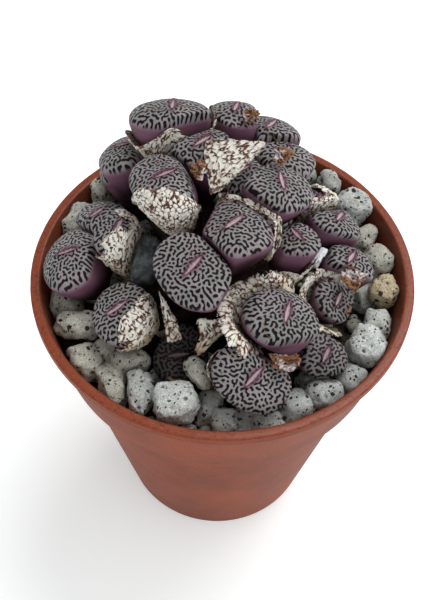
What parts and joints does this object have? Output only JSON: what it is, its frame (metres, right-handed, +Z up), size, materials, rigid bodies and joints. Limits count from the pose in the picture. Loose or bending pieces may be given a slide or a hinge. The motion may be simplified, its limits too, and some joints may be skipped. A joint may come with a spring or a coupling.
{
  "type": "potted conophytum",
  "caption": "Clump of mottled grey leaf pairs with papery old sheaths and dried flowers, set in pumice gravel in a plain tapered terracotta-brown plastic pot.",
  "frame": {"origin": "centre of the pot's underside, on the surface that the pot stands on", "axes": "+Z up along the pot's axis, -Y towards the best side of the clump, +X to the right seen from there"},
  "size_m": [0.07, 0.07, 0.0908],
  "materials": {
    "terracotta_plastic": "moulded plastic, terracotta brown, dull satin",
    "potting_mix": "very dark, gritty and matt",
    "rootstock": "dry brown bark",
    "leaf_skin": "grey skin with a dark labyrinth of lines, mauve on the sides",
    "dried_sheath": "papery, cream to white, with brown cracks",
    "dried_petal": "withered, orange-brown",
    "pumice": "pale grey porous stone",
    "buff_pumice": "cream porous stone",
    "slate": "blue-grey flecked stone, dull",
    "quartz": "milky white stone"
  },
  "bodies": {
    "root": {"buff_stone": "buff_pumice", "dried_flower_01": "dried_petal", "dried_flower_02": "dried_petal", "dried_flower_03": "dried_petal", "dried_flower_04": "dried_petal", "dried_flower_05": "dried_petal", "gravel_bed": "pumice", "leaf_pair_01": "leaf_skin", "leaf_pair_02": "leaf_skin", "leaf_pair_03": "leaf_skin", "leaf_pair_04": "leaf_skin", "leaf_pair_05": "leaf_skin", "leaf_pair_06": "leaf_skin", "leaf_pair_07": "leaf_skin", "leaf_pair_08": "leaf_skin", "leaf_pair_09": "leaf_skin", "leaf_pair_10": "leaf_skin", "leaf_pair_11": "leaf_skin", "leaf_pair_12": "leaf_skin", "leaf_pair_13": "leaf_skin", "leaf_pair_14": "leaf_skin", "leaf_pair_15": "leaf_skin", "leaf_pair_16": "leaf_skin", "leaf_pair_17": "leaf_skin", "leaf_pair_18": "leaf_skin", "leaf_pair_19": "leaf_skin", "leaf_pair_20": "leaf_skin", "leaf_pair_21": "leaf_skin", "leaf_pair_22": "leaf_skin", "leaf_pair_23": "leaf_skin", "leaf_pair_24": "leaf_skin", "leaf_pair_25": "leaf_skin", "leaf_pair_26": "leaf_skin", "leaf_pair_27": "leaf_skin", "leaf_pair_28": "leaf_skin", "pot": "terracotta_plastic", "potting_mix": "potting_mix", "pumice_01": "pumice", "pumice_02": "pumice", "pumice_03": "pumice", "pumice_04": "pumice", "pumice_05": "pumice", "pumice_06": "pumice", "pumice_07": "pumice", "quartz_chip": "quartz", "rootstock": "rootstock", "sheath_01": "dried_sheath", "sheath_02": "dried_sheath", "sheath_03": "dried_sheath", "sheath_04": "dried_sheath", "sheath_05": "dried_sheath", "sheath_06": "dried_sheath", "sheath_07": "dried_sheath", "sheath_08": "dried_sheath", "sheath_09": "dried_sheath", "sheath_10": "dried_sheath", "sheath_11": "dried_sheath", "sheath_12": "dried_sheath", "sheath_13": "dried_sheath", "slate_chip": "slate"}
  },
  "joints": []
}
